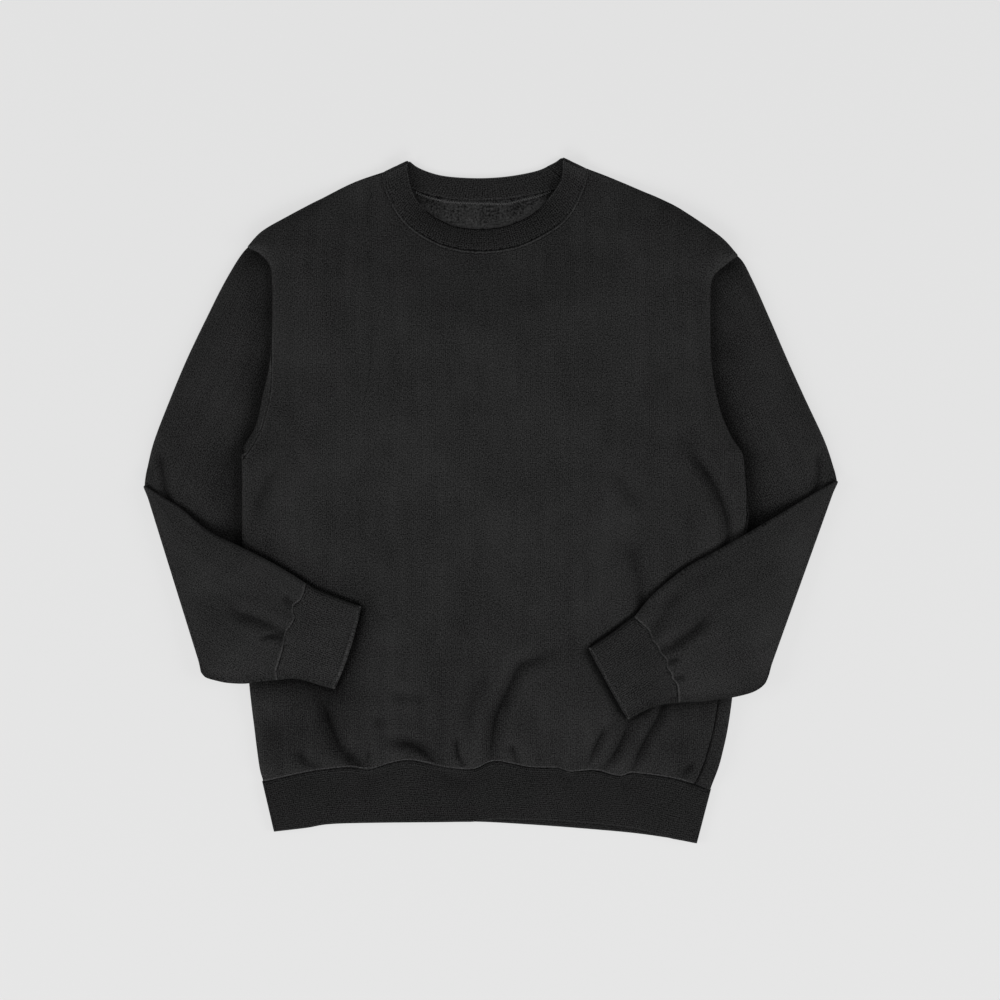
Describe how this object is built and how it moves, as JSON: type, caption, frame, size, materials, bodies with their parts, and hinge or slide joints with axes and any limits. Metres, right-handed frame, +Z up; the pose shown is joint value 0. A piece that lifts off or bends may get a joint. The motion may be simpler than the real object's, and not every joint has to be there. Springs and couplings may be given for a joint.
{
  "type": "crewneck sweatshirt",
  "caption": "Long-sleeved fleece sweatshirt with a ribbed round collar, cuffs and hem, laid flat on its back with the forearms folded over the front.",
  "frame": {"origin": "on the surface it rests on, under the middle of its bounding box", "axes": "+Z up from the surface, +Y towards the neck, +X to the right seen from above, which is the wearer's left"},
  "size_m": [0.7396, 0.7332, 0.0191],
  "materials": {
    "fleece": "matt washed black jersey face, brushed fleece inside",
    "rib": "matt washed black fine rib knit"
  },
  "bodies": {
    "root": {"front": "fleece", "back": "fleece", "sleeve_left": "fleece", "sleeve_right": "fleece", "cuff_left": "rib", "cuff_right": "rib", "neck_rib": "rib", "hem_rib": "rib"}
  },
  "joints": []
}
